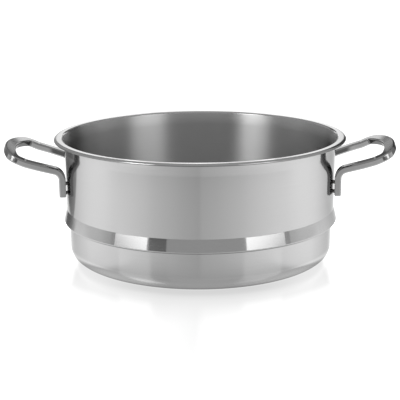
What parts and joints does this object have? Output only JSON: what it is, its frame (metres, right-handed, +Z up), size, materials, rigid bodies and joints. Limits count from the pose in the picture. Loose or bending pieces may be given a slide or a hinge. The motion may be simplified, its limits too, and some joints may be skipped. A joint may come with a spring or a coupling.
{
  "type": "soup kettle pan",
  "caption": "Open round steel soup pan with a flared rim, a ridged shoulder over a narrower lower wall that drops into a ring or heated base, and a welded loop handle on each side.",
  "frame": {"origin": "centre of the flat base, on the surface that the pan stands on", "axes": "+Z up along the axis of the pan, +X through the right handle, -Y towards the side that the picture shows"},
  "size_m": [0.4092, 0.3038, 0.1275],
  "materials": {
    "vessel_steel": "polished outside and on the rim, satin inside",
    "handle_steel": "tumble polished bar with rounded edges",
    "weld_steel": "as-welded, slightly darkened"
  },
  "bodies": {
    "root": {"vessel_shell": "vessel_steel", "left_handle": "handle_steel", "right_handle": "handle_steel", "left_front_lower_weld": "weld_steel", "left_front_upper_weld": "weld_steel", "left_rear_lower_weld": "weld_steel", "left_rear_upper_weld": "weld_steel", "right_front_lower_weld": "weld_steel", "right_front_upper_weld": "weld_steel", "right_rear_lower_weld": "weld_steel", "right_rear_upper_weld": "weld_steel"}
  },
  "joints": []
}
